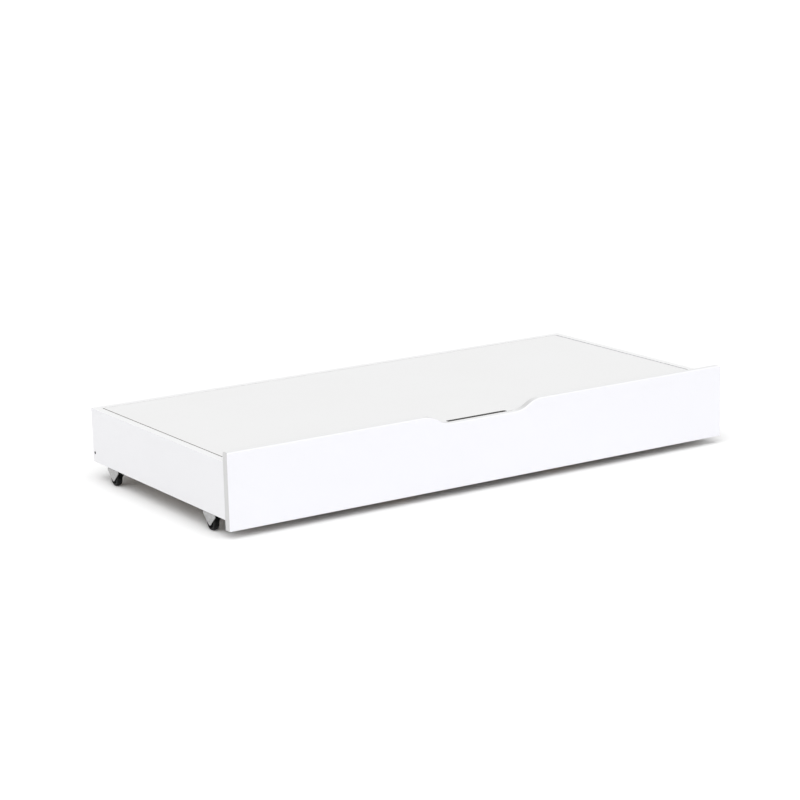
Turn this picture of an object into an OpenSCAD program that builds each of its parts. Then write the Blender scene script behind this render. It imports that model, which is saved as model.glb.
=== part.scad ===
// Under-bed storage box on four rigid casters, with a lift-off lid.
// Millimetres. +X along the front panel, front panel faces -Y, +Z up.
// The origin is on the floor, under the middle of the box.

/* [Boards] */
// Length of the front panel
front_l = 1350; // [1250:10:1450]
// Height of the front panel
front_h = 172.5; // [165:0.5:180]
// Depth from the front panel's face to the back panel's face
box_d = 650; // [600:10:700]
// Thickness of the front, side and back panels
board_t = 19; // [18:1:20]
// Height of the side and back panels
side_h = 128; // [125:1:130]
// How far the front panel reaches below the sides
front_drop = 22; // [18:1:26]
// How far each side's outer face sits in from the front panel's end
side_inset = 1; // [0:0.5:3]
// Thickness of the bottom board
bottom_t = 3; // [3:0.5:4]
// Height of the bottom board's underside above the sides' lower edge
bottom_up = 12; // [10:1:14]

/* [Hand notch] */
// Depth of the notch in the front panel's top edge
notch_h = 22.5; // [20:0.5:25]
// Distance between the middles of the notch's two ramps
notch_l = 246; // [220:2:280]
// Radius of the rounded shoulders and corners of the ramps
notch_r = 70; // [60:1:72]
// Slope of the ramps, in degrees
notch_slope = 30; // [29:1:34]
// How far the notch lies to the left of the panel's middle
notch_left = 15; // [0:1:30]

/* [Lid] */
// Thickness of the lid
lid_t = 12; // [10:1:14]
// How far the lid's top lies below the sides' top edge
lid_recess = 0.5; // [0.5:0.5:3]
// Gap at the lid's left and right ends
lid_end_gap = 3; // [1:0.5:4]
// Gap at the lid's front and back edges
lid_edge_gap = 0.8; // [0.5:0.1:1.5]
// Length of the finger slot in the lid's front edge
slot_l = 162; // [140:1:165]
// How far the finger slot's middle lies to the left of the lid's middle
slot_left = 19; // [10:1:20]
// Reach of the finger slot behind the front panel
slot_d = 12; // [8:0.5:14]
// Section of the cleats that carry the lid
cleat = 15; // [12:1:15]

/* [Casters] */
// Radius of a wheel
wheel_r = 17.5; // [16:0.5:18]
// Width of a wheel
wheel_w = 14; // [12:0.5:14]
// Depth of the axle below the sides' lower edge
axle_drop = 22.5; // [22:0.5:25]
// Distance of an axle from the front or back face of the box
axle_in = 95; // [80:1:120]
// Length of a bracket along the side
ear_l = 52; // [50:1:56]
// Thickness of the bracket's steel
steel_t = 1.5; // [1.2:0.1:1.5]
// Width of a bracket
bracket_w = 18.5; // [18.5:0.5:20]
// How far a bracket sits in from the side's outer face
bracket_in = 1.5; // [1:0.5:2]

/* [Hidden] */
$fn = 64;

// Colours
white = "white";
ivory = "whitesmoke";
fibre = "sienna";
pine = "burlywood";
zinc = "silver";
nylon = [0.06, 0.06, 0.06];

// Heights
side_z = wheel_r + axle_drop;
side_top = side_z + side_h;
front_z = side_z - front_drop;
front_top = front_z + front_h;
bottom_z = side_z + bottom_up;
bottom_top = bottom_z + bottom_t;
lid_top = side_top - lid_recess;
lid_z = lid_top - lid_t;
cleat_z = lid_z - cleat;
cleat_mid = cleat_z + cleat / 2;

// Places along X and Y
side_x = front_l / 2 - side_inset;
inner_x = side_x - board_t;
mid_x = side_x - board_t / 2;
face_y = box_d / 2;
inner_y = face_y - board_t;
notch_x = -notch_left;
slot_x = -slot_left;
axle_y = face_y - axle_in;
bracket_x = side_x - bracket_in - bracket_w / 2;
batten_x = inner_x / 3;

// Grooves that hold the bottom board
groove_d = 5;
groove_t = bottom_t + 0.3;
tongue = groove_d - 0.5;

// Joinery
hole_gap = 0.05;
cut = 1;
dowel_r = 4;
dowel_in_panel = 12;
front_dowel_l = 30;
back_dowel_l = 35;
front_dowel_up = 60;
back_dowels_up = [60, 100];
cam_r = 7.5;
cam_in = 24;
cams_up = [36, 84];
bolt_thread_r = 2.5;
bolt_thread_l = 11;
bolt_shank_r = 3;
bolt_head_r = 3.5;
bolt_head_h = 3;
bolt_neck_r = 2.2;
bolt_neck_l = 4;
channel_r = 4;
cam_floor = 0.5;
// Deep enough for the bolt head, whatever the thickness of the boards
cam_h = board_t / 2 + channel_r + cam_floor;
cross_l = 9;
cross_w = 1.6;
cross_h = 3;
corner_screw_up = 22;
corner_screw_l = 50;
corner_head_r = 3.6;
corner_head_h = 3;
corner_sink = 3;
corner_shank_r = 2.6;
hex_r = 2.2;
hex_h = 2.4;
wood_screw_r = 1.75;
wood_head_r = 3.5;
recess_h = 1.5;
cleat_screw_l = 25;
side_screw_y = [-220, 0, 220];
back_screw_x = [-480, -240, 0, 240, 480];
cleat_end = 60;
cleat_hand_room = 40;
batten_w = 60;
batten_screw_l = 13;
batten_screw_r = 1.5;
batten_head_r = 2.9;
batten_dowel_r = 3;

// Caster details
bend_r = 3;
ear_straight = 7;
ear_tip_r = 6.5;
pin_r = 3;
pin_play = 0.06;
rivet_r = 4.5;
rivet_h = 1.2;
screw_from_axle = 18;
caster_screw_l = 16;
pan_r = 3.4;
pan_h = 1.6;
tread_round = 3;
rim_t = 5;
hub_r = 7;
web_w = 6;
hub_relief = 0.4;

// The two ends of each front cleat, along X
slot_reach = slot_l / 2 + cleat_hand_room;
front_cleats = [
    [cleat - inner_x, slot_x - slot_reach],
    [slot_x + slot_reach, inner_x - cleat]];

// Points along an arc about c, from angle a to angle b in degrees
arc_steps = 12;
function arc(c, r, a, b) =
    [for (i = [0:arc_steps])
        let (t = a + (b - a) * i / arc_steps) c + r * [cos(t), sin(t)]];

// ---------- shared shapes ----------

// Box between two corners
module block(a, b) {
    translate(a) cube(b - a);
}

// Turns a shape drawn along +Z into direction d, a unit axis, and moves it to p
module aim(p, d) {
    turn = d[0] != 0 ? [0, 90 * d[0], 0]
         : d[1] != 0 ? [-90 * d[1], 0, 0]
         : [d[2] > 0 ? 0 : 180, 0, 0];
    translate(p) rotate(turn) children();
}

// Cylinder that starts at p and runs l along direction d
module rod(p, d, l, r) {
    aim(p, d) cylinder(h = l, r = r);
}

// Countersunk screw along +Z with its flat head at z = 0; g widens it all round
module countersunk(l, r, head_r, g = 0) {
    sink = head_r - r;
    rotate_extrude()
        polygon([[0, 0], [head_r + g, 0], [r + g, sink], [r + g, l + g], [0, l + g]]);
}

// The same screw with a cross recess in its head
module screw(l, r, head_r) {
    difference() {
        countersunk(l, r, head_r);
        for (a = [0, 90])
            rotate(a)
                translate([-head_r * 0.6, -0.4, -cut])
                    cube([head_r * 1.2, 0.8, recess_h + cut]);
    }
}

// Dowel of radius r and length l along +Z
module dowel(l, r) {
    cylinder(h = l, r = r);
}

// ---------- boards ----------

// Outline of the cut-out in the front panel's top edge, in X and Z
module notch_outline() {
    run = notch_r * sin(notch_slope);
    dip = notch_r * (1 - cos(notch_slope));
    half_ramp = run + (notch_h / 2 - dip) / tan(notch_slope);
    start = notch_l / 2 + half_ramp;
    flat = notch_l / 2 - half_ramp;
    polygon(concat(
        [[-start, cut]],
        arc([-start, -notch_r], notch_r, 90, 90 - notch_slope),
        arc([-flat, notch_r - notch_h], notch_r, 270 - notch_slope, 270),
        arc([flat, notch_r - notch_h], notch_r, 270, 270 + notch_slope),
        arc([start, -notch_r], notch_r, 90 + notch_slope, 90),
        [[start, cut]]));
}

module front_panel() {
    color(white)
    difference() {
        block([-front_l / 2, -face_y, front_z], [front_l / 2, -inner_y, front_top]);
        translate([notch_x, -inner_y + cut, front_top])
            rotate([90, 0, 0])
                linear_extrude(board_t + 2 * cut) notch_outline();
        block([-inner_x - groove_d, -inner_y - groove_d, bottom_z],
              [inner_x + groove_d, -inner_y + cut, bottom_z + groove_t]);
        front_joint_holes();
        cleat_screw_holes();
        batten_dowel_holes();
    }
}

// One side panel: s is -1 for the left, 1 for the right
module side(s) {
    color(white)
    difference() {
        scale_x(s) difference() {
            block([inner_x, -inner_y, side_z], [side_x, face_y, side_top]);
            block([inner_x - cut, -inner_y - cut, bottom_z],
                  [inner_x + groove_d, inner_y + groove_d, bottom_z + groove_t]);
            for (up = cams_up)
                rod([inner_x - cut, cam_in - inner_y, side_z + up],
                    [1, 0, 0], cam_h + cut, cam_r + hole_gap);
            for (up = cams_up)
                rod([mid_x, -inner_y - cut, side_z + up],
                    [0, 1, 0], cam_in + cut, channel_r);
        }
        front_joint_holes();
        back_joint_holes();
        cleat_screw_holes();
        caster_screw_holes();
    }
}

// Mirrors a right-hand shape to the left when s is -1
module scale_x(s) {
    if (s < 0) mirror([1, 0, 0]) children();
    else children();
}

module left_side() side(-1);
module right_side() side(1);

module back_panel() {
    color(white)
    difference() {
        block([-inner_x, inner_y, side_z], [inner_x, face_y, side_top]);
        block([-inner_x - cut, inner_y - cut, bottom_z],
              [inner_x + cut, inner_y + groove_d, bottom_z + groove_t]);
        back_joint_holes();
        cleat_screw_holes();
        batten_dowel_holes();
    }
}

module bottom_board() {
    color(fibre)
    difference() {
        block([-inner_x - tongue, -inner_y - tongue, bottom_z],
              [inner_x + tongue, inner_y + tongue, bottom_top]);
        batten_screw_holes();
    }
}

// One batten under the bottom board
module batten(s) {
    color(pine)
    difference() {
        block([s * batten_x - batten_w / 2, -inner_y, side_z],
              [s * batten_x + batten_w / 2, inner_y, bottom_z]);
        batten_screw_holes();
        batten_dowel_holes();
    }
}

module left_batten() batten(-1);
module right_batten() batten(1);

// ---------- lid and its cleats ----------

module slot_outline() {
    corner = 4;
    square([slot_l, 2 * (slot_d - corner)], center = true);
    square([slot_l - 2 * corner, 2 * slot_d], center = true);
    for (s = [-1, 1])
        translate([s * (slot_l / 2 - corner), slot_d - corner]) circle(r = corner);
}

module lid() {
    lid_x = inner_x - lid_end_gap;
    lid_y = inner_y - lid_edge_gap;
    color(ivory)
    translate([0, 0, lid_z])
    linear_extrude(lid_t)
    difference() {
        square([2 * lid_x, 2 * lid_y], center = true);
        translate([slot_x, -inner_y]) slot_outline();
    }
}

module side_cleat(s) {
    color(white)
    difference() {
        scale_x(s)
            block([inner_x - cleat, -inner_y, cleat_z], [inner_x, inner_y, lid_z]);
        cleat_screw_holes();
    }
}

module left_cleat() side_cleat(-1);
module right_cleat() side_cleat(1);

module back_cleat() {
    color(white)
    difference() {
        block([cleat - inner_x, inner_y - cleat, cleat_z],
              [inner_x - cleat, inner_y, lid_z]);
        cleat_screw_holes();
    }
}

// One front cleat between the two places in ends
module front_cleat(ends) {
    color(white)
    difference() {
        block([ends[0], -inner_y, cleat_z], [ends[1], cleat - inner_y, lid_z]);
        cleat_screw_holes();
    }
}

module front_left_cleat() front_cleat(front_cleats[0]);
module front_right_cleat() front_cleat(front_cleats[1]);

// ---------- casters ----------

// Arch with rounded top corners, its top at z = 0, drawn in X and Z
module arch(w, h, r) {
    translate([-w / 2, -h]) square([w, h - r]);
    translate([r - w / 2, -h]) square([w - 2 * r, h]);
    for (s = [-1, 1])
        translate([s * (w / 2 - r), -r]) circle(r = r);
}

// Side view of a bracket: straight shoulders that taper to a round tip
module ear_outline() {
    tip = [0, -axle_drop];
    shoulder = [ear_l / 2, -ear_straight];
    reach = shoulder - tip;
    lean = atan2(reach[1], reach[0]) - acos(ear_tip_r / norm(reach));
    polygon(concat(
        [[-shoulder[0], shoulder[1]], [-ear_l / 2, cut], [ear_l / 2, cut], shoulder],
        arc(tip, ear_tip_r, lean, -180 - lean)));
}

// Bracket folded from one strip, its top at z = 0 and the axle along X
module bracket_shape() {
    deep = axle_drop + ear_tip_r + cut;
    difference() {
        intersection() {
            translate([0, ear_l, 0]) rotate([90, 0, 0])
                linear_extrude(2 * ear_l)
                difference() {
                    arch(bracket_w, deep, bend_r);
                    translate([0, -steel_t])
                        arch(bracket_w - 2 * steel_t, deep, bend_r - steel_t);
                }
            translate([-bracket_w, 0, 0]) rotate([90, 0, 90])
                linear_extrude(2 * bracket_w) ear_outline();
        }
        rod([-bracket_w, 0, -axle_drop], [1, 0, 0], 2 * bracket_w, pin_r);
        for (s = [-1, 1])
            rod([0, s * screw_from_axle, cut], [0, 0, -1], steel_t + 2 * cut,
                wood_screw_r + 0.2);
    }
}

// Places something at the corner (sx, sy), on the underside of a side
module at_corner(sx, sy) {
    translate([sx * bracket_x, sy * axle_y, side_z]) children();
}

module bracket(sx, sy) {
    color(zinc) at_corner(sx, sy) bracket_shape();
}

module rivet_head() {
    dome_r = (rivet_r * rivet_r + rivet_h * rivet_h) / (2 * rivet_h);
    rotate_extrude()
        intersection() {
            translate([0, rivet_h - dome_r]) circle(r = dome_r, $fn = 120);
            square([rivet_r, rivet_h]);
        }
}

module axle(sx, sy) {
    color(zinc)
    at_corner(sx, sy)
    translate([0, 0, -axle_drop]) {
        rod([-bracket_w / 2, 0, 0], [1, 0, 0], bracket_w, pin_r);
        for (s = [-1, 1])
            aim([s * bracket_w / 2, 0, 0], [s, 0, 0]) rivet_head();
    }
}

// Half section of a wheel: radius along x, width along y
module wheel_section() {
    hub_w = wheel_w - 2 * hub_relief;
    rim_in = wheel_r - rim_t;
    translate([rim_in, -wheel_w / 2])
        square([rim_t - tread_round, wheel_w]);
    translate([rim_in, tread_round - wheel_w / 2])
        square([rim_t, wheel_w - 2 * tread_round]);
    for (s = [-1, 1])
        translate([wheel_r - tread_round, s * (wheel_w / 2 - tread_round)])
            circle(r = tread_round);
    translate([hub_r - cut, -web_w / 2])
        square([rim_in - hub_r + 2 * cut, web_w]);
    translate([pin_r + pin_play, -hub_w / 2])
        square([hub_r - pin_r - pin_play, hub_w]);
}

module wheel(sx, sy) {
    color(nylon)
    at_corner(sx, sy)
    translate([0, 0, -axle_drop])
    rotate([0, 90, 0])
    rotate_extrude() wheel_section();
}

module front_left_bracket() bracket(-1, -1);
module front_right_bracket() bracket(1, -1);
module rear_left_bracket() bracket(-1, 1);
module rear_right_bracket() bracket(1, 1);
module front_left_axle() axle(-1, -1);
module front_right_axle() axle(1, -1);
module rear_left_axle() axle(-1, 1);
module rear_right_axle() axle(1, 1);
module front_left_wheel() wheel(-1, -1);
module front_right_wheel() wheel(1, -1);
module rear_left_wheel() wheel(-1, 1);
module rear_right_wheel() wheel(1, 1);

// ---------- fasteners, and the holes that they need ----------

// Every caster screw's place, head down under the bracket's plate
module each_caster_screw() {
    for (sx = [-1, 1], sy = [-1, 1], s = [-1, 1])
        at_corner(sx, sy)
            translate([0, s * screw_from_axle, -steel_t]) children();
}

module caster_screws() {
    color(zinc)
    each_caster_screw() {
        cylinder(h = caster_screw_l, r = wood_screw_r);
        difference() {
            translate([0, 0, -pan_h]) cylinder(h = pan_h, r = pan_r);
            for (a = [0, 90])
                rotate(a) translate([-2, -0.4, -pan_h - cut])
                    cube([4, 0.8, cut + pan_h / 2]);
        }
    }
}

module caster_screw_holes() {
    each_caster_screw()
        cylinder(h = caster_screw_l + hole_gap, r = wood_screw_r + hole_gap);
}

// Every cam's centre, on the mid-plane of a side, with +Z pointing inwards
module each_cam() {
    for (s = [-1, 1], up = cams_up)
        translate([s * mid_x, cam_in - inner_y, side_z + up])
            rotate([0, -90 * s, 0]) children();
}

module cam_housings() {
    face = board_t / 2;
    color(zinc)
    each_cam()
    difference() {
        translate([0, 0, face - cam_h]) cylinder(h = cam_h, r = cam_r);
        translate([0, bolt_head_h, 0]) rotate([90, 0, 0])
            cylinder(h = cam_r + bolt_head_h + cut, r = channel_r);
        for (a = [45, 135])
            rotate(a) translate([-cross_l / 2, -cross_w / 2, face - cross_h])
                cube([cross_l, cross_w, cross_h + cut]);
    }
}

// Every cam bolt's place on the front panel's inner face, +Z to the back
module each_cam_bolt() {
    for (s = [-1, 1], up = cams_up)
        translate([s * mid_x, -inner_y, side_z + up]) rotate([-90, 0, 0]) children();
}

module cam_bolts() {
    shank_l = cam_in - bolt_neck_l;
    color(zinc)
    each_cam_bolt() {
        translate([0, 0, -bolt_thread_l]) cylinder(h = bolt_thread_l, r = bolt_thread_r);
        cylinder(h = shank_l, r = bolt_shank_r);
        translate([0, 0, shank_l]) cylinder(h = bolt_neck_l, r = bolt_neck_r);
        translate([0, 0, cam_in - bolt_head_h / 2])
            cylinder(h = bolt_head_h, r = bolt_head_r);
    }
}

module each_front_dowel() {
    for (s = [-1, 1])
        translate([s * mid_x, -inner_y - dowel_in_panel, side_z + front_dowel_up])
            rotate([-90, 0, 0]) children();
}

module front_dowels() {
    color(pine) each_front_dowel() dowel(front_dowel_l, dowel_r);
}

// Holes for the cam bolts and dowels between the front panel and the sides
module front_joint_holes() {
    each_cam_bolt()
        translate([0, 0, -bolt_thread_l - hole_gap])
            cylinder(h = bolt_thread_l + hole_gap, r = bolt_thread_r + hole_gap);
    each_front_dowel()
        translate([0, 0, -hole_gap])
            dowel(front_dowel_l + 2 * hole_gap, dowel_r + hole_gap);
}

module each_back_dowel() {
    for (s = [-1, 1], up = back_dowels_up)
        translate([s * (inner_x + dowel_in_panel), inner_y + board_t / 2, side_z + up])
            rotate([0, -90 * s, 0]) children();
}

module back_dowels() {
    color(pine) each_back_dowel() dowel(back_dowel_l, dowel_r);
}

// Every corner screw's place on a side's outer face, +Z pointing inwards
module each_corner_screw() {
    for (s = [-1, 1])
        translate([s * side_x, inner_y + board_t / 2, side_z + corner_screw_up])
            rotate([0, -90 * s, 0]) children();
}

// Screws with straight heads, sunk below the sides' outer faces

module corner_screws() {
    color(zinc)
    each_corner_screw()
    translate([0, 0, corner_sink])
    difference() {
        union() {
            cylinder(h = corner_head_h, r = corner_head_r);
            cylinder(h = corner_screw_l, r = corner_shank_r);
        }
        translate([0, 0, -cut]) cylinder(h = hex_h + cut, r = hex_r, $fn = 6);
    }
}

// Holes for the screws and dowels between the back panel and the sides
module back_joint_holes() {
    each_back_dowel()
        translate([0, 0, -hole_gap])
            dowel(back_dowel_l + 2 * hole_gap, dowel_r + hole_gap);
    each_corner_screw() {
        translate([0, 0, -cut])
            cylinder(h = cut + corner_sink + corner_head_h, r = corner_head_r + hole_gap);
        cylinder(h = corner_sink + corner_screw_l + hole_gap, r = corner_shank_r + hole_gap);
    }
}

// Every cleat screw's place on its cleat's inner face
module each_cleat_screw() {
    for (s = [-1, 1], y = side_screw_y)
        aim([s * (inner_x - cleat), y, cleat_mid], [s, 0, 0]) children();
    for (x = back_screw_x)
        aim([x, inner_y - cleat, cleat_mid], [0, 1, 0]) children();
    for (ends = front_cleats, x = [ends[0] + cleat_end, ends[1] - cleat_end])
        aim([x, cleat - inner_y, cleat_mid], [0, -1, 0]) children();
}

module cleat_screws() {
    color(zinc) each_cleat_screw() screw(cleat_screw_l, wood_screw_r, wood_head_r);
}

module cleat_screw_holes() {
    each_cleat_screw() countersunk(cleat_screw_l, wood_screw_r, wood_head_r, hole_gap);
}

module each_batten_screw() {
    for (s = [-1, 1], y = side_screw_y)
        aim([s * batten_x, y, bottom_top], [0, 0, -1]) children();
}

module batten_screws() {
    color(zinc)
    each_batten_screw() screw(batten_screw_l, batten_screw_r, batten_head_r);
}

module batten_screw_holes() {
    each_batten_screw()
        countersunk(batten_screw_l, batten_screw_r, batten_head_r, hole_gap);
}

module each_batten_dowel() {
    for (s = [-1, 1], d = [-1, 1])
        aim([s * batten_x, d * (inner_y + dowel_in_panel), (side_z + bottom_z) / 2],
            [0, -d, 0]) children();
}

module batten_dowels() {
    color(pine) each_batten_dowel() dowel(front_dowel_l, batten_dowel_r);
}

module batten_dowel_holes() {
    each_batten_dowel()
        translate([0, 0, -hole_gap])
            dowel(front_dowel_l + 2 * hole_gap, batten_dowel_r + hole_gap);
}

front_panel();
left_side();
right_side();
back_panel();
bottom_board();
left_batten();
right_batten();
left_cleat();
right_cleat();
back_cleat();
front_left_cleat();
front_right_cleat();
lid();
front_left_bracket();
front_right_bracket();
rear_left_bracket();
rear_right_bracket();
front_left_axle();
front_right_axle();
rear_left_axle();
rear_right_axle();
front_left_wheel();
front_right_wheel();
rear_left_wheel();
rear_right_wheel();
caster_screws();
cam_housings();
cam_bolts();
front_dowels();
back_dowels();
corner_screws();
cleat_screws();
batten_screws();
batten_dowels();
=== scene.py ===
"""Looks for the under bed box: rounded boards, wheels, materials, studio light and camera."""

import math

import bmesh
import bpy
from mathutils import Matrix, Vector


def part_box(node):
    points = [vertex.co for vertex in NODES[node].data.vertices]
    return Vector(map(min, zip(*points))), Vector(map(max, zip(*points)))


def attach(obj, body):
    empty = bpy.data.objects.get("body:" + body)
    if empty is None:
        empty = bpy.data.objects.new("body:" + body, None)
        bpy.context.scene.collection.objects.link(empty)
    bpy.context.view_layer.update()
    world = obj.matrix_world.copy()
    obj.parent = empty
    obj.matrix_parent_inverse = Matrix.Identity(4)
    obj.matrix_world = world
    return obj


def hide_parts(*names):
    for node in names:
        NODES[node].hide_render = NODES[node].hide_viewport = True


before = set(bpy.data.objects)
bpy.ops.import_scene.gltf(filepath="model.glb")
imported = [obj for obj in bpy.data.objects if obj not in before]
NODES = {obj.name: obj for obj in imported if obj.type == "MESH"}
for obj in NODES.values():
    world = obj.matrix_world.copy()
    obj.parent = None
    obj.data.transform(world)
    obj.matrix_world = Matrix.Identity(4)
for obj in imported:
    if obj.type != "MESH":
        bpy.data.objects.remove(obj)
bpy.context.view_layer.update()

MM = 0.001
FRONT_LOW, FRONT_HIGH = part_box("front_panel")
FRONT_L = FRONT_HIGH.x - FRONT_LOW.x
LID_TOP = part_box("lid")[1].z


# ---------- camera ----------

# Camera place, from the front panel's lower left corner, in front panel lengths
CAMERA_AT = Vector((-1.7409, -3.2020, 1.0574))
CAMERA_AZIMUTH = 32.80
CAMERA_ELEVATION = 13.18
CAMERA_ROLL = -1.39
SENSOR = 36.0
LENS = 108.6


def make_camera():
    """The camera at the photograph's viewing angle."""
    a, e, r = (math.radians(v) for v in (CAMERA_AZIMUTH, CAMERA_ELEVATION, CAMERA_ROLL))
    forward = Vector((math.sin(a) * math.cos(e), math.cos(a) * math.cos(e), -math.sin(e)))
    level = Vector((math.cos(a), -math.sin(a), 0))
    rise = level.cross(forward)
    right = level * math.cos(r) + rise * math.sin(r)
    up = rise * math.cos(r) - level * math.sin(r)
    data = bpy.data.cameras.new("camera")
    data.sensor_width = SENSOR
    data.lens = LENS
    data.clip_start, data.clip_end = 0.05, 200
    camera = bpy.data.objects.new("camera", data)
    turn = Matrix((right, up, -forward)).transposed().to_4x4()
    camera.matrix_world = Matrix.Translation(FRONT_LOW + CAMERA_AT * FRONT_L) @ turn
    bpy.context.scene.collection.objects.link(camera)
    bpy.context.scene.camera = camera


make_camera()


# ---------- node helpers for materials ----------


class Shade:
    """A new material with a Principled shader, and short calls that add nodes to it."""

    def __init__(self, name, rough, metallic=0.0, **constants):
        self.material = bpy.data.materials.new(name)
        self.material.use_nodes = True
        self.tree = self.material.node_tree
        self.bsdf = self.tree.nodes["Principled BSDF"]
        self.bsdf.inputs["Roughness"].default_value = rough
        self.bsdf.inputs["Metallic"].default_value = metallic
        for key, value in constants.items():
            self.bsdf.inputs[key.replace("_", " ")].default_value = value

    def node(self, kind, inputs=None, **settings):
        made = self.tree.nodes.new(kind)
        for key, value in settings.items():
            setattr(made, key, value)
        for key, value in (inputs or {}).items():
            self.feed(made.inputs[key], value)
        return made

    def feed(self, socket, value):
        if isinstance(value, bpy.types.NodeSocket):
            self.tree.links.new(value, socket)
        else:
            socket.default_value = value

    def place(self, stretch=(1, 1, 1)):
        """Object coordinates in metres, stretched along each axis."""
        where = self.node("ShaderNodeTexCoord").outputs["Object"]
        return self.node("ShaderNodeMapping", {"Vector": where, "Scale": stretch}).outputs[0]

    def noise(self, scale, detail=3.0, rough=0.5, stretch=(1, 1, 1), distortion=0.0):
        inputs = {
            "Vector": self.place(stretch),
            "Scale": scale,
            "Detail": detail,
            "Roughness": rough,
            "Distortion": distortion,
        }
        return self.node("ShaderNodeTexNoise", inputs).outputs["Fac"]

    def cells(self, scale, stretch=(1, 1, 1)):
        inputs = {"Vector": self.place(stretch), "Scale": scale}
        return self.node("ShaderNodeTexVoronoi", inputs).outputs["Color"]

    def ramp(self, value, low, high, out_low=0.0, out_high=1.0):
        inputs = {0: value, 1: low, 2: high, 3: out_low, 4: out_high}
        return self.node("ShaderNodeMapRange", inputs, clamp=True).outputs[0]

    def math(self, operation, a, b=0.0):
        return self.node("ShaderNodeMath", {0: a, 1: b}, operation=operation).outputs[0]

    def mix(self, share, a, b):
        """Colour a where share is 0, colour b where it is 1."""
        return self.node("ShaderNodeMix", {0: share, 6: a, 7: b}, data_type="RGBA").outputs[2]

    def axis(self, source, letter):
        split = self.node("ShaderNodeSeparateXYZ", {0: source})
        return split.outputs["XYZ".index(letter)]

    def facing(self, letter):
        """How far the surface faces along an axis, either way, from 0 to 1."""
        normal = self.node("ShaderNodeTexCoord").outputs["Normal"]
        return self.math("ABSOLUTE", self.axis(normal, letter))

    def bumps(self, *layers):
        """Stacks bump layers, each (height, depth in metres, strength)."""
        normal = None
        for height, depth, strength in layers:
            inputs = {"Height": height, "Distance": depth, "Strength": strength}
            made = self.node("ShaderNodeBump", inputs)
            if normal is not None:
                self.tree.links.new(normal, made.inputs["Normal"])
            normal = made.outputs["Normal"]
        self.tree.links.new(normal, self.bsdf.inputs["Normal"])

    def colour(self, value):
        self.feed(self.bsdf.inputs["Base Color"], value)

    def rough(self, value):
        self.feed(self.bsdf.inputs["Roughness"], value)


def grey(level, warm=0.0):
    """A grey, warmer where warm is above 0 and cooler where it is below."""
    return (level * (1 + warm), level, level * (1 - warm), 1)


def bluish(level, cool):
    """A grey with its blue raised by the share cool."""
    return (level, level, level * (1 + cool), 1)


def lacquer(name, level, edge_level, broad_axis, end_level=None, rough=0.34, cool=0.0):
    """Sprayed white board: satin film, faint orange peel, narrow faces with their own level.

    level is for the faces across broad_axis, edge_level for the narrow ones, and
    end_level for those that face along X. cool is how much bluer the faces are.
    """
    s = Shade(name, rough, Specular_IOR_Level=0.45)
    broad = s.facing(broad_axis)
    cloud = s.noise(7.0, 2.0)
    dimmer, plain = bluish(level * 0.992, cool), bluish(level, cool)
    face = s.mix(s.ramp(cloud, 0.35, 0.65), dimmer, plain)
    edge = grey(edge_level, -0.002)
    if end_level is not None:
        edge = s.mix(s.ramp(s.facing("X"), 0.05, 0.45), edge, grey(end_level))
    band = s.ramp(broad, 0.25, 0.55)
    tone = s.mix(band, edge, face)
    speck = s.noise(2600.0, 1.0)
    s.colour(s.mix(s.ramp(speck, 0.66, 0.74, 0.0, 0.05), tone, grey(0.5)))
    s.rough(s.ramp(s.noise(60.0, 4.0), 0.3, 0.7, rough - 0.03, rough + 0.05))
    peel = s.noise(700.0, 2.0)
    pores = s.noise(4200.0, 2.0)
    s.bumps((peel, 0.00012, 0.10), (pores, 0.00003, 0.12))
    return s.material


def raw_core(name, pale, dark):
    """The bare inside of a board, seen in grooves, slots, drilled holes and the lid's rim."""
    s = Shade(name, 0.8, Specular_IOR_Level=0.2)
    chips = s.axis(s.cells(420.0, stretch=(1, 1, 2.5)), "X")
    dust = s.noise(1500.0, 4.0, 0.6)
    body = s.mix(s.ramp(chips, 0.0, 1.0), dark, pale)
    s.colour(s.mix(s.ramp(dust, 0.55, 0.75, 0.0, 0.4), body, [c * 0.6 for c in dark[:3]] + [1]))
    s.rough(s.ramp(dust, 0.3, 0.7, 0.72, 0.88))
    s.bumps((chips, 0.0003, 0.5), (dust, 0.0001, 0.5))
    return s.material


def foil_board(name, level):
    """The lid's face: matt white foil with a faint straight emboss along X."""
    s = Shade(name, 0.5, Specular_IOR_Level=0.35)
    grain = s.noise(900.0, 4.0, 0.6, stretch=(0.03, 1, 1))
    broad = s.noise(5.0, 2.0)
    face = s.mix(s.ramp(broad, 0.3, 0.7), grey(level * 0.99, 0.001), grey(level, -0.001))
    s.colour(s.mix(s.ramp(grain, 0.45, 0.75, 0.0, 0.06), face, grey(level * 0.86)))
    s.rough(s.ramp(grain, 0.3, 0.7, 0.44, 0.56))
    s.bumps((grain, 0.00008, 0.25), (s.noise(3000.0, 2.0), 0.00003, 0.15))
    return s.material


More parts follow.
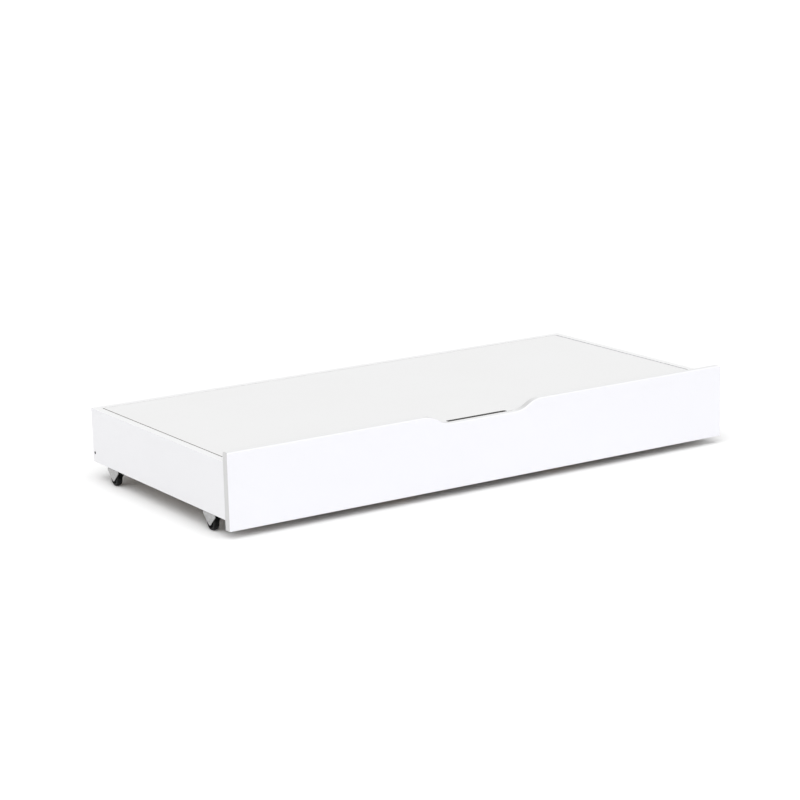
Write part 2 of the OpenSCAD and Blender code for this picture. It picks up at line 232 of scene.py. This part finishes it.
def hardboard(name):
    """Pressed fibre board: a thin white coat on top, bare mottled fibres underneath."""
    s = Shade(name, 0.62, Specular_IOR_Level=0.3)
    mottle = s.noise(45.0, 5.0, 0.6)
    fibre_x = s.noise(1400.0, 3.0, 0.6, stretch=(0.08, 1, 1), distortion=0.6)
    fibre_y = s.noise(1400.0, 3.0, 0.6, stretch=(1, 0.08, 1), distortion=0.6)
    base = s.mix(s.ramp(mottle, 0.3, 0.7), (0.30, 0.25, 0.20, 1), (0.42, 0.36, 0.30, 1))
    pale = s.mix(s.ramp(fibre_x, 0.58, 0.72, 0.0, 0.55), base, (0.55, 0.49, 0.42, 1))
    fibres = s.mix(s.ramp(fibre_y, 0.60, 0.74, 0.0, 0.5), pale, (0.16, 0.13, 0.10, 1))
    normal = s.node("ShaderNodeTexCoord").outputs["Normal"]
    coat = s.mix(s.ramp(fibre_x, 0.55, 0.75, 0.0, 0.08), grey(0.80), grey(0.70))
    s.colour(s.mix(s.ramp(s.axis(normal, "Z"), 0.4, 0.6), fibres, coat))
    s.rough(s.ramp(mottle, 0.3, 0.7, 0.52, 0.7))
    s.bumps((fibre_x, 0.00008, 0.4), (fibre_y, 0.00008, 0.4))
    return s.material


def timber(name, pale, dark, grain_axis, ring=26.0):
    """Planed wood: growth rings seen as bands, with fine pores along the grain."""
    along = tuple(0.06 if letter == grain_axis else 1.0 for letter in "XYZ")
    s = Shade(name, 0.5, Specular_IOR_Level=0.35)
    warp = s.noise(18.0, 3.0, stretch=along)
    where = s.node("ShaderNodeVectorMath", {0: s.place(along), 1: (0, 0, 0)}, operation="ADD")
    shift = s.math("MULTIPLY", warp, 0.06)
    wander = s.node("ShaderNodeCombineXYZ", {0: shift, 1: shift, 2: shift}).outputs[0]
    s.feed(where.inputs[1], wander)
    inputs = {"Vector": where.outputs[0], "Scale": ring, "Distortion": 1.5, "Detail": 2.0}
    rings = s.node("ShaderNodeTexWave", inputs, bands_direction="DIAGONAL").outputs["Fac"]
    pores = s.noise(1800.0, 3.0, 0.6, stretch=along)
    body = s.mix(s.ramp(rings, 0.35, 0.95), pale, dark)
    s.colour(s.mix(s.ramp(pores, 0.55, 0.75, 0.0, 0.35), body, [c * 0.55 for c in dark[:3]] + [1]))
    s.rough(s.ramp(rings, 0.2, 0.8, 0.46, 0.58))
    s.bumps((pores, 0.00012, 0.4), (rings, 0.00006, 0.3))
    return s.material


def zinc(name, level, rough=0.33):
    """Bright zinc plate: faint spangle, rolling lines and handling marks."""
    s = Shade(name, rough, metallic=1.0)
    spangle = s.axis(s.cells(520.0), "X")
    cloud = s.noise(120.0, 4.0, 0.6)
    tone = s.mix(s.ramp(spangle, 0.0, 1.0), grey(level * 0.86, 0.01), grey(level * 1.12, -0.012))
    dull = s.ramp(cloud, 0.45, 0.72, 0.0, 0.5)
    s.colour(s.mix(dull, tone, grey(level * 0.72, 0.035)))
    lines = s.noise(900.0, 2.0, 0.6, stretch=(1, 0.05, 1))
    scuff = s.noise(260.0, 5.0, 0.7)
    s.rough(s.ramp(scuff, 0.3, 0.7, rough - 0.08, rough + 0.16))
    s.bumps((lines, 0.00003, 0.3), (scuff, 0.00006, 0.25))
    return s.material


def nylon(name):
    """Moulded black nylon: fine matt texture with slightly paler, worn patches."""
    s = Shade(name, 0.42, Specular_IOR_Level=0.22)
    grain = s.noise(2400.0, 2.0)
    wear = s.noise(330.0, 5.0, 0.65)
    s.colour(s.mix(s.ramp(wear, 0.52, 0.75, 0.0, 0.55), grey(0.004), grey(0.011, 0.02)))
    s.rough(s.ramp(wear, 0.3, 0.7, 0.30, 0.48))
    s.bumps((grain, 0.00004, 0.35), (wear, 0.00008, 0.25))
    return s.material


FRONT_WHITE = lacquer("front_white", 0.81, 0.80, "Y", end_level=0.60, cool=0.045)
SIDE_WHITE = lacquer("side_white", 0.80, 0.86, "X", cool=0.022)
CLEAT_WHITE = lacquer("cleat_white", 0.84, 0.84, "Z", rough=0.42)
LID_WHITE = foil_board("lid_white", 0.80)
# Near-black bare core: painted shade for the insides of slots, grooves and drilled holes, far
# darker than bare board is
CORE_PAINTED_SHADE = raw_core("raw_core", (0.17, 0.165, 0.16, 1), (0.10, 0.097, 0.094, 1))
RAW_RIM = raw_core("raw_rim", (0.42, 0.41, 0.395, 1), (0.32, 0.31, 0.30, 1))
HARDBOARD = hardboard("hardboard")
PINE = timber("pine", (0.72, 0.50, 0.28, 1), (0.50, 0.29, 0.13, 1), "Y")
BEECH = timber("beech", (0.62, 0.40, 0.24, 1), (0.47, 0.28, 0.16, 1), "X", ring=60.0)
ZINC = zinc("zinc_plate", level=0.46)
ZINC_CAST = zinc("zinc_cast", level=0.48, rough=0.45)
NYLON = nylon("black_nylon")


# ---------- boards: the CAD shapes with rounded edges ----------

SHARP = math.radians(30)
FLAT = math.radians(1)
ON_PLANE = 0.02 * MM
WELD = 0.002 * MM
ROUND_STEPS = 5

# Radii of the rounded edges
TOP_ROUND = 3.0 * MM
PANEL_ROUND = 1.2 * MM
BATTEN_ROUND = 1.0 * MM
CLEAT_ROUND = 0.8 * MM
LID_ROUND = 0.6 * MM
BOTTOM_ROUND = 0.3 * MM
DOWEL_ROUND = 0.6 * MM


def cad_mesh(node):
    """A clean copy of a CAD node's mesh: welded, with flat areas as single faces."""
    bm = bmesh.new()
    bm.from_mesh(NODES[node].data)
    bmesh.ops.remove_doubles(bm, verts=bm.verts, dist=WELD)
    bmesh.ops.dissolve_limit(bm, angle_limit=FLAT, verts=bm.verts, edges=bm.edges)
    return bm


def is_sharp(edge):
    return len(edge.link_faces) == 2 and edge.calc_face_angle() > SHARP


def walls_of(part, low, high):
    """How many of the six walls of the box from low to high an edge or face lies in."""
    count = 0
    for i in range(3):
        for wall in (low[i], high[i]):
            count += all(abs(v.co[i] - wall) < ON_PLANE for v in part.verts)
    return count


def add_piece(name, bm, materials, body):
    """Turns a bmesh into an object that rides on a body, smooth except at sharp edges."""
    mesh = bpy.data.meshes.new(name)
    bm.normal_update()
    for face in bm.faces:
        face.smooth = True
    for edge in bm.edges:
        edge.smooth = not is_sharp(edge)
    bm.to_mesh(mesh)
    bm.free()
    for material in materials:
        mesh.materials.append(material)
    made = bpy.data.objects.new(name, mesh)
    bpy.context.scene.collection.objects.link(made)
    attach(made, body)
    return made


def even_normals(piece):
    """Keeps flat faces evenly lit beside their rounded edges."""
    piece.modifiers.new("even_normals", "WEIGHTED_NORMAL").keep_sharp = True


def board(node, material, radius, body="box", special=None, bare_rim=False):
    """A board with rounded outer edges, and bare core darkened as painted shade where it is cut
    into.

    Edges of holes and grooves stay sharp unless special gives them a radius.
    special(edge) may return another radius for an edge, or None for the usual rule.
    bare_rim leaves the board's narrow faces bare as well.
    """
    low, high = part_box(node)
    bm = cad_mesh(node)
    weights = bm.edges.layers.float.new("bevel_weight_edge")
    radii = {}
    for edge in bm.edges:
        if is_sharp(edge):
            own = special(edge) if special else None
            radii[edge] = own or (radius if walls_of(edge, low, high) == 2 else 0.0)
    largest = max(radii.values())
    for edge, size in radii.items():
        edge[weights] = size / largest
    materials = [material, CORE_PAINTED_SHADE, RAW_RIM]
    for face in bm.faces:
        outside = walls_of(face, low, high) > 0
        # Faces cut into take the near-black core: painted shade in slots, grooves and holes
        cut_into = not outside and not on_notch(face)
        on_rim = bare_rim and outside and abs(face.normal.z) < 0.5
        shown = CORE_PAINTED_SHADE if cut_into else RAW_RIM if on_rim else material
        face.material_index = materials.index(shown)
    made = add_piece(node + "_board", bm, materials, body)
    bevel = made.modifiers.new("round_edges", "BEVEL")
    bevel.limit_method = "WEIGHT"
    bevel.width = largest
    bevel.segments = ROUND_STEPS
    bevel.miter_outer = "MITER_ARC"
    even_normals(made)
    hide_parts(node)
    return made


def on_notch(part):
    """True for edges and faces of the hand notch, which is lacquered like a face."""
    return all(v.co.z > LID_TOP - ON_PLANE for v in part.verts)


def front_top(edge):
    """A fuller rounding along the front panel's top and its hand notch."""
    return TOP_ROUND if on_notch(edge) else None


def lid_edges(edge):
    """The lid's own radius on every sharp edge, those of its finger slot included."""
    return LID_ROUND


board("front_panel", FRONT_WHITE, PANEL_ROUND, special=front_top)
for node in ("left_side", "right_side", "back_panel"):
    board(node, SIDE_WHITE, PANEL_ROUND)
for node in ("left_cleat", "right_cleat", "back_cleat", "front_left_cleat", "front_right_cleat"):
    board(node, CLEAT_WHITE, CLEAT_ROUND)
for node in ("left_batten", "right_batten"):
    board(node, PINE, BATTEN_ROUND)
board("bottom_board", HARDBOARD, BOTTOM_ROUND)
board("lid", LID_WHITE, LID_ROUND, "lid", special=lid_edges, bare_rim=True)


# ---------- wheels ----------

WHEEL_STEPS = 96
PIN_RADIUS = 3.0 * MM
PIN_PLAY = 0.06 * MM
RIBS = 6
CORNERS = ("front_left", "front_right", "rear_left", "rear_right")


def arc(x, r, radius, start, end, steps):
    """Points (x, r) along an arc, angles in degrees from the axle's direction."""
    points = []
    for i in range(steps + 1):
        a = math.radians(start + (end - start) * i / steps)
        points.append((x + radius * math.cos(a), r + radius * math.sin(a)))
    return points


def wheel_profile(width, tread, bore):
    """Half section from the bore, over one face, the tread and the other face, closed."""
    half = width / 2
    corner, lip, fillet = 3.0 * MM, 0.5 * MM, 1.0 * MM
    seam_depth, seam_outer, seam_inner = 0.12 * MM, 0.4 * MM, 0.15 * MM
    rim, hub, web = tread - 5.0 * MM, 7.0 * MM, 3.0 * MM
    hub_half = half - 0.4 * MM
    side = []
    side += [(hub_half - lip, bore)]
    side += [(hub_half, bore + lip)]
    side += arc(hub_half - lip, hub - lip, lip, 0, 90, 4)
    side += [(web + fillet, hub)]
    side += [(web, hub + fillet), (web, rim - fillet), (web + fillet, rim)]
    side += arc(half - lip, rim + lip, lip, 270, 360, 4)
    side += arc(half - corner, tread - corner, corner, 0, 90, 10)
    side += [(seam_outer, tread), (seam_inner, tread - seam_depth)]
    return side + [(-x, r) for x, r in reversed(side)]


def wheel(corner):
    """Moulded wheel with a boss, a thin web with ribs, a rim and a parting seam."""
    node = corner + "_wheel"
    low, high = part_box(node)
    centre = (low + high) / 2
    bore = PIN_RADIUS + PIN_PLAY
    tread = (high.z - low.z) / 2
    width = high.x - low.x
    profile = wheel_profile(width, tread, bore)
    bm = bmesh.new()
    rings = []
    for i in range(WHEEL_STEPS):
        a = 2 * math.pi * i / WHEEL_STEPS
        turn = (math.cos(a), math.sin(a))
        ring = [bm.verts.new(centre + Vector((x, r * turn[0], r * turn[1]))) for x, r in profile]
        rings.append(ring)
    count = len(profile)
    for i in range(WHEEL_STEPS):
        near, far = rings[i], rings[(i + 1) % WHEEL_STEPS]
        for j in range(count):
            k = (j + 1) % count
            bm.faces.new((near[j], far[j], far[k], near[k]))
    add_ribs(bm, centre, tread)
    bmesh.ops.recalc_face_normals(bm, faces=bm.faces)
    made = add_piece(node + "_moulding", bm, [NYLON], node)
    even_normals(made)
    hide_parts(node)


def add_ribs(bm, centre, tread):
    """Six thin ribs on both faces of the web, sunk a little into boss and rim."""
    inner, outer = 6.6 * MM, tread - 4.6 * MM
    half_thick, reach, root, rounding = 0.7 * MM, 5.2 * MM, 2.8 * MM, 0.25 * MM
    for i in range(RIBS):
        spin = Matrix.Rotation(2 * math.pi * i / RIBS, 4, "X")
        for s in (-1, 1):
            mid = Vector((s * (reach + root) / 2, 0, (inner + outer) / 2))
            size = Matrix.Diagonal(Vector((reach - root, 2 * half_thick, outer - inner, 1)))
            where = Matrix.Translation(centre) @ spin @ Matrix.Translation(mid) @ size
            made = bmesh.ops.create_cube(bm, size=1, matrix=where)
            edges = {e for v in made["verts"] for e in v.link_edges}
            bmesh.ops.bevel(
                bm, geom=list(edges), offset=rounding, segments=2, profile=0.5,
                affect="EDGES",
            )


for corner in CORNERS:
    wheel(corner)


# ---------- CAD nodes that stay: metal as it is, dowels with rounded ends ----------


def finish_cad(node, material, width=None):
    """Gives a CAD node its material and, where a width is given, rounds its sharp edges."""
    piece = NODES[node]
    piece.data.materials.clear()
    piece.data.materials.append(material)
    if width is None:
        return
    weld = piece.modifiers.new("weld", "WELD")
    weld.merge_threshold = WELD
    bevel = piece.modifiers.new("round_edges", "BEVEL")
    bevel.width = width
    bevel.segments = 2
    bevel.limit_method = "ANGLE"
    bevel.angle_limit = SHARP
    bevel.use_clamp_overlap = True
    even_normals(piece)


for corner in CORNERS:
    finish_cad(corner + "_bracket", ZINC)
    finish_cad(corner + "_axle", ZINC)
for node in ("caster_screws", "corner_screws", "cleat_screws", "batten_screws", "cam_bolts"):
    finish_cad(node, ZINC)
finish_cad("cam_housings", ZINC_CAST)
for node in ("front_dowels", "back_dowels", "batten_dowels"):
    finish_cad(node, BEECH, DOWEL_ROUND)


# ---------- floor, light and surroundings ----------

FLOOR_SIZE = 120.0


def make_floor():
    """A plain pale floor."""
    s = Shade("floor_white", 0.9, Specular_IOR_Level=0.0)
    s.colour(s.mix(s.ramp(s.noise(2.0, 2.0), 0.3, 0.7), grey(0.945), grey(0.955)))
    bm = bmesh.new()
    bmesh.ops.create_grid(bm, x_segments=8, y_segments=8, size=FLOOR_SIZE / 2)
    mesh = bpy.data.meshes.new("floor")
    bm.to_mesh(mesh)
    bm.free()
    mesh.materials.append(s.material)
    floor = bpy.data.objects.new("floor", mesh)
    floor.location.z = -0.05 * MM
    bpy.context.scene.collection.objects.link(floor)


def make_world(level, from_front, from_left):
    """A white studio, clearly brighter towards the front and slightly towards the left."""
    world = bpy.data.worlds.new("studio")
    world.use_nodes = True
    tree = world.node_tree
    where = tree.nodes.new("ShaderNodeTexCoord")
    lean = tree.nodes.new("ShaderNodeVectorMath")
    lean.operation = "DOT_PRODUCT"
    lean.inputs[1].default_value = (-from_left, -from_front, 0.0)
    total = tree.nodes.new("ShaderNodeMath")
    total.operation = "ADD"
    total.inputs[1].default_value = level
    background = tree.nodes["Background"]
    background.inputs["Color"].default_value = (1.0, 1.0, 1.0, 1)
    tree.links.new(where.outputs["Generated"], lean.inputs[0])
    tree.links.new(lean.outputs["Value"], total.inputs[0])
    tree.links.new(total.outputs[0], background.inputs["Strength"])
    bpy.context.scene.world = world


def overhead_light(strength, from_left, from_front, spread, colour):
    """A broad overhead light, leaning by the given degrees to the left and the front."""
    data = bpy.data.lights.new("overhead", "SUN")
    data.energy = strength
    data.angle = math.radians(spread)
    data.color = colour
    lamp = bpy.data.objects.new("overhead", data)
    lamp.rotation_euler = (math.radians(from_front), math.radians(-from_left), 0)
    bpy.context.scene.collection.objects.link(lamp)


make_floor()
make_world(0.85, from_front=0.33, from_left=0.05)
overhead_light(1.05, from_left=14, from_front=12, spread=56, colour=(1, 1, 1))
bpy.context.scene.view_settings.view_transform = "Standard"
